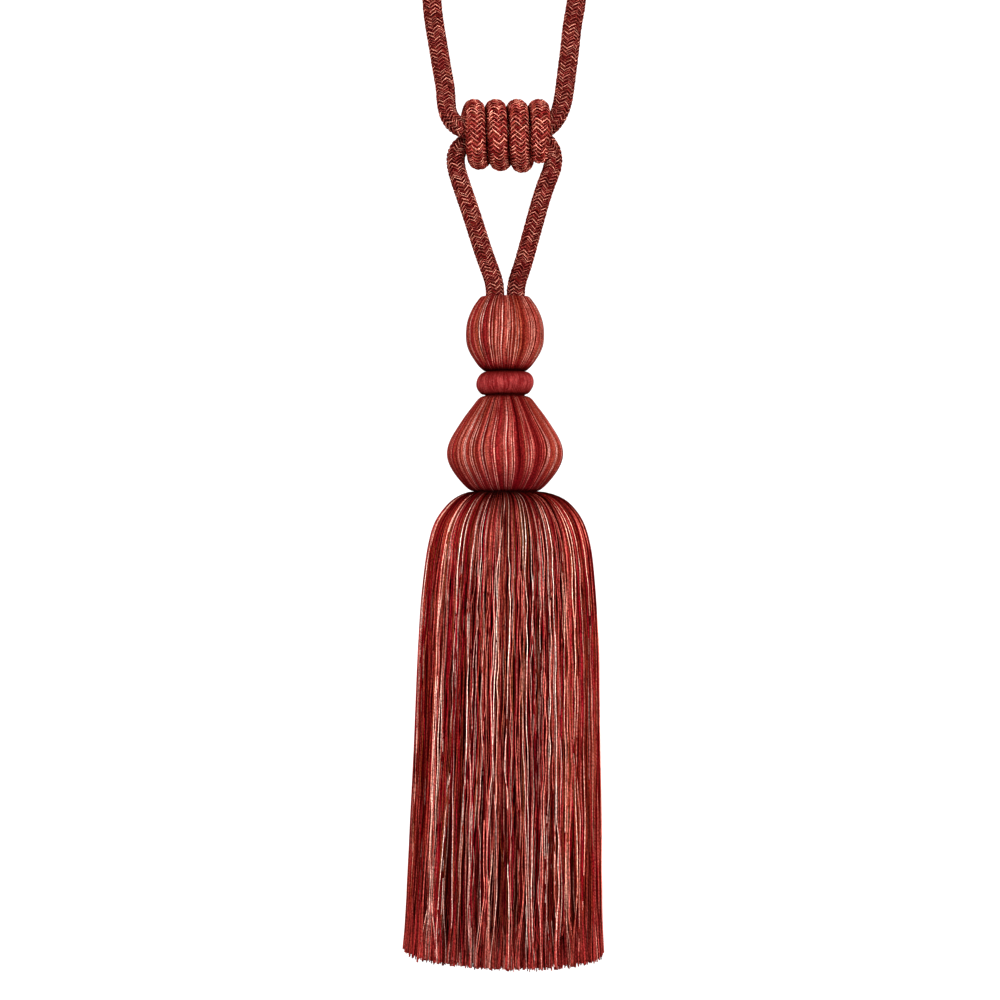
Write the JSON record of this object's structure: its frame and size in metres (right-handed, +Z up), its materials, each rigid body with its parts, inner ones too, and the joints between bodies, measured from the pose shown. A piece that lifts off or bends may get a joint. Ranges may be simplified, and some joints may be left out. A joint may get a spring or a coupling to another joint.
{
  "type": "curtain tieback tassel",
  "caption": "Key tassel for tying back a curtain: a braided rope loop with a sliding barrel knot, yarn-covered moulds, a wrapped collar and a long cut-yarn skirt.",
  "frame": {"origin": "inner top of the rope loop, where a hook bears", "axes": "+Z up along the tassel; -Y towards the viewer of the picture; +X to that viewer's right"},
  "size_m": [0.0944, 0.0944, 0.4971],
  "materials": {
    "rope_braid": "tubular braid of crimson, brick and salmon yarns",
    "mould_yarn": "fine twisted yarns laid from pole to pole",
    "collar_yarn": "fine crimson yarn wrapped over a ring, slight sheen",
    "skirt_yarn": "soft twisted cut yarns in mixed reds"
  },
  "bodies": {
    "root": {"rope": "rope_braid", "slide_knot": "rope_braid", "upper_mould": "mould_yarn", "collar": "collar_yarn", "lower_mould": "mould_yarn", "skirt": "skirt_yarn"}
  },
  "joints": []
}
